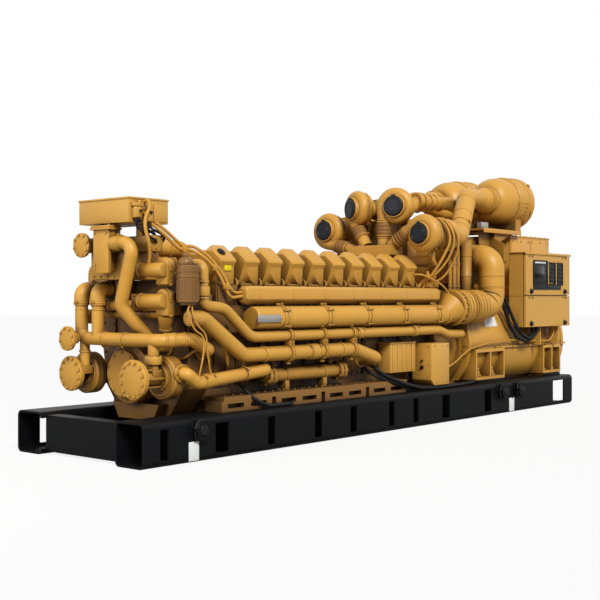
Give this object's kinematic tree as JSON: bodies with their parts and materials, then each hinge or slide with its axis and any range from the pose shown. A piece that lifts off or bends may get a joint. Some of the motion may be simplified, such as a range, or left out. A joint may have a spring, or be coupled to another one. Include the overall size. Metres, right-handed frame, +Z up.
{
  "type": "diesel generator set",
  "caption": "Large diesel generator set on a black box-rail base frame: V engine with side pipes, turbochargers and exhaust drums, alternator, and a control cabinet with hinged doors.",
  "frame": {"origin": "on the ground, under the middle of the set's box in length and width", "axes": "+X along the set from the pump end of the engine to the alternator, -Y towards the side with the control cabinet, +Z up"},
  "size_m": [8.01, 1.98, 3.131],
  "materials": {
    "machine_paint": "semi-gloss ochre yellow enamel",
    "frame_paint": "semi-gloss black enamel",
    "plug_plastic": "matt black",
    "controller_case": "matt dark grey",
    "latch_plastic": "satin black",
    "cable_rubber": "matt black"
  },
  "bodies": {
    "genset": {"base_rail_near": "frame_paint", "base_rail_far": "frame_paint", "base_cross_members": "frame_paint", "lifting_posts": "frame_paint", "engine_feet": "machine_paint", "oil_pan": "machine_paint", "crankcase": "machine_paint", "front_housing": "machine_paint", "crank_damper": "machine_paint", "flywheel_housing": "machine_paint", "cylinder_heads": "machine_paint", "valve_covers_near": "machine_paint", "valve_covers_far": "machine_paint", "fuel_rail_covers": "machine_paint", "air_manifold_near": "machine_paint", "air_manifold_far": "machine_paint", "charge_air_elbows": "machine_paint", "aftercooler": "machine_paint", "charge_air_plenum": "machine_paint", "compressor_outlets": "machine_paint", "turbo_outer_near": "machine_paint", "turbo_inner_near": "machine_paint", "turbo_inner_far": "machine_paint", "turbo_outer_far": "machine_paint", "inlet_plugs": "plug_plastic", "exhaust_ducts": "machine_paint", "exhaust_drum_near": "machine_paint", "exhaust_drum_far": "machine_paint", "drum_shelf": "machine_paint", "coolant_pipes_near": "machine_paint", "coolant_pipes_far": "machine_paint", "pipe_clamps": "machine_paint", "side_coolers": "machine_paint", "water_pumps": "machine_paint", "pump_discharges": "machine_paint", "front_pipes": "machine_paint", "blind_flanges": "machine_paint", "s_pipe": "machine_paint", "thermostat_housing": "machine_paint", "engine_control_box": "machine_paint", "oil_coolers": "machine_paint", "oil_filter": "machine_paint", "alternator": "machine_paint", "alternator_feet": "machine_paint", "terminal_box": "machine_paint", "control_cabinet": "machine_paint", "junction_boxes": "machine_paint", "harness": "cable_rubber"},
    "upper_door_body": {"upper_door": "machine_paint", "upper_latches": "latch_plastic", "controller": "controller_case"},
    "lower_door_body": {"lower_door": "machine_paint", "lower_latches": "latch_plastic"}
  },
  "joints": [
    {"name": "upper_door_hinge", "type": "hinge", "parent": "genset", "child": "upper_door_body", "pos_m": [3.1, -0.9475, 2.032], "axis": [-1, 0, 0], "range_deg": [0, 85]},
    {"name": "lower_door_hinge", "type": "hinge", "parent": "genset", "child": "lower_door_body", "pos_m": [3.1, -0.9475, 1.487], "axis": [-1, 0, 0], "range_deg": [0, 85]}
  ]
}
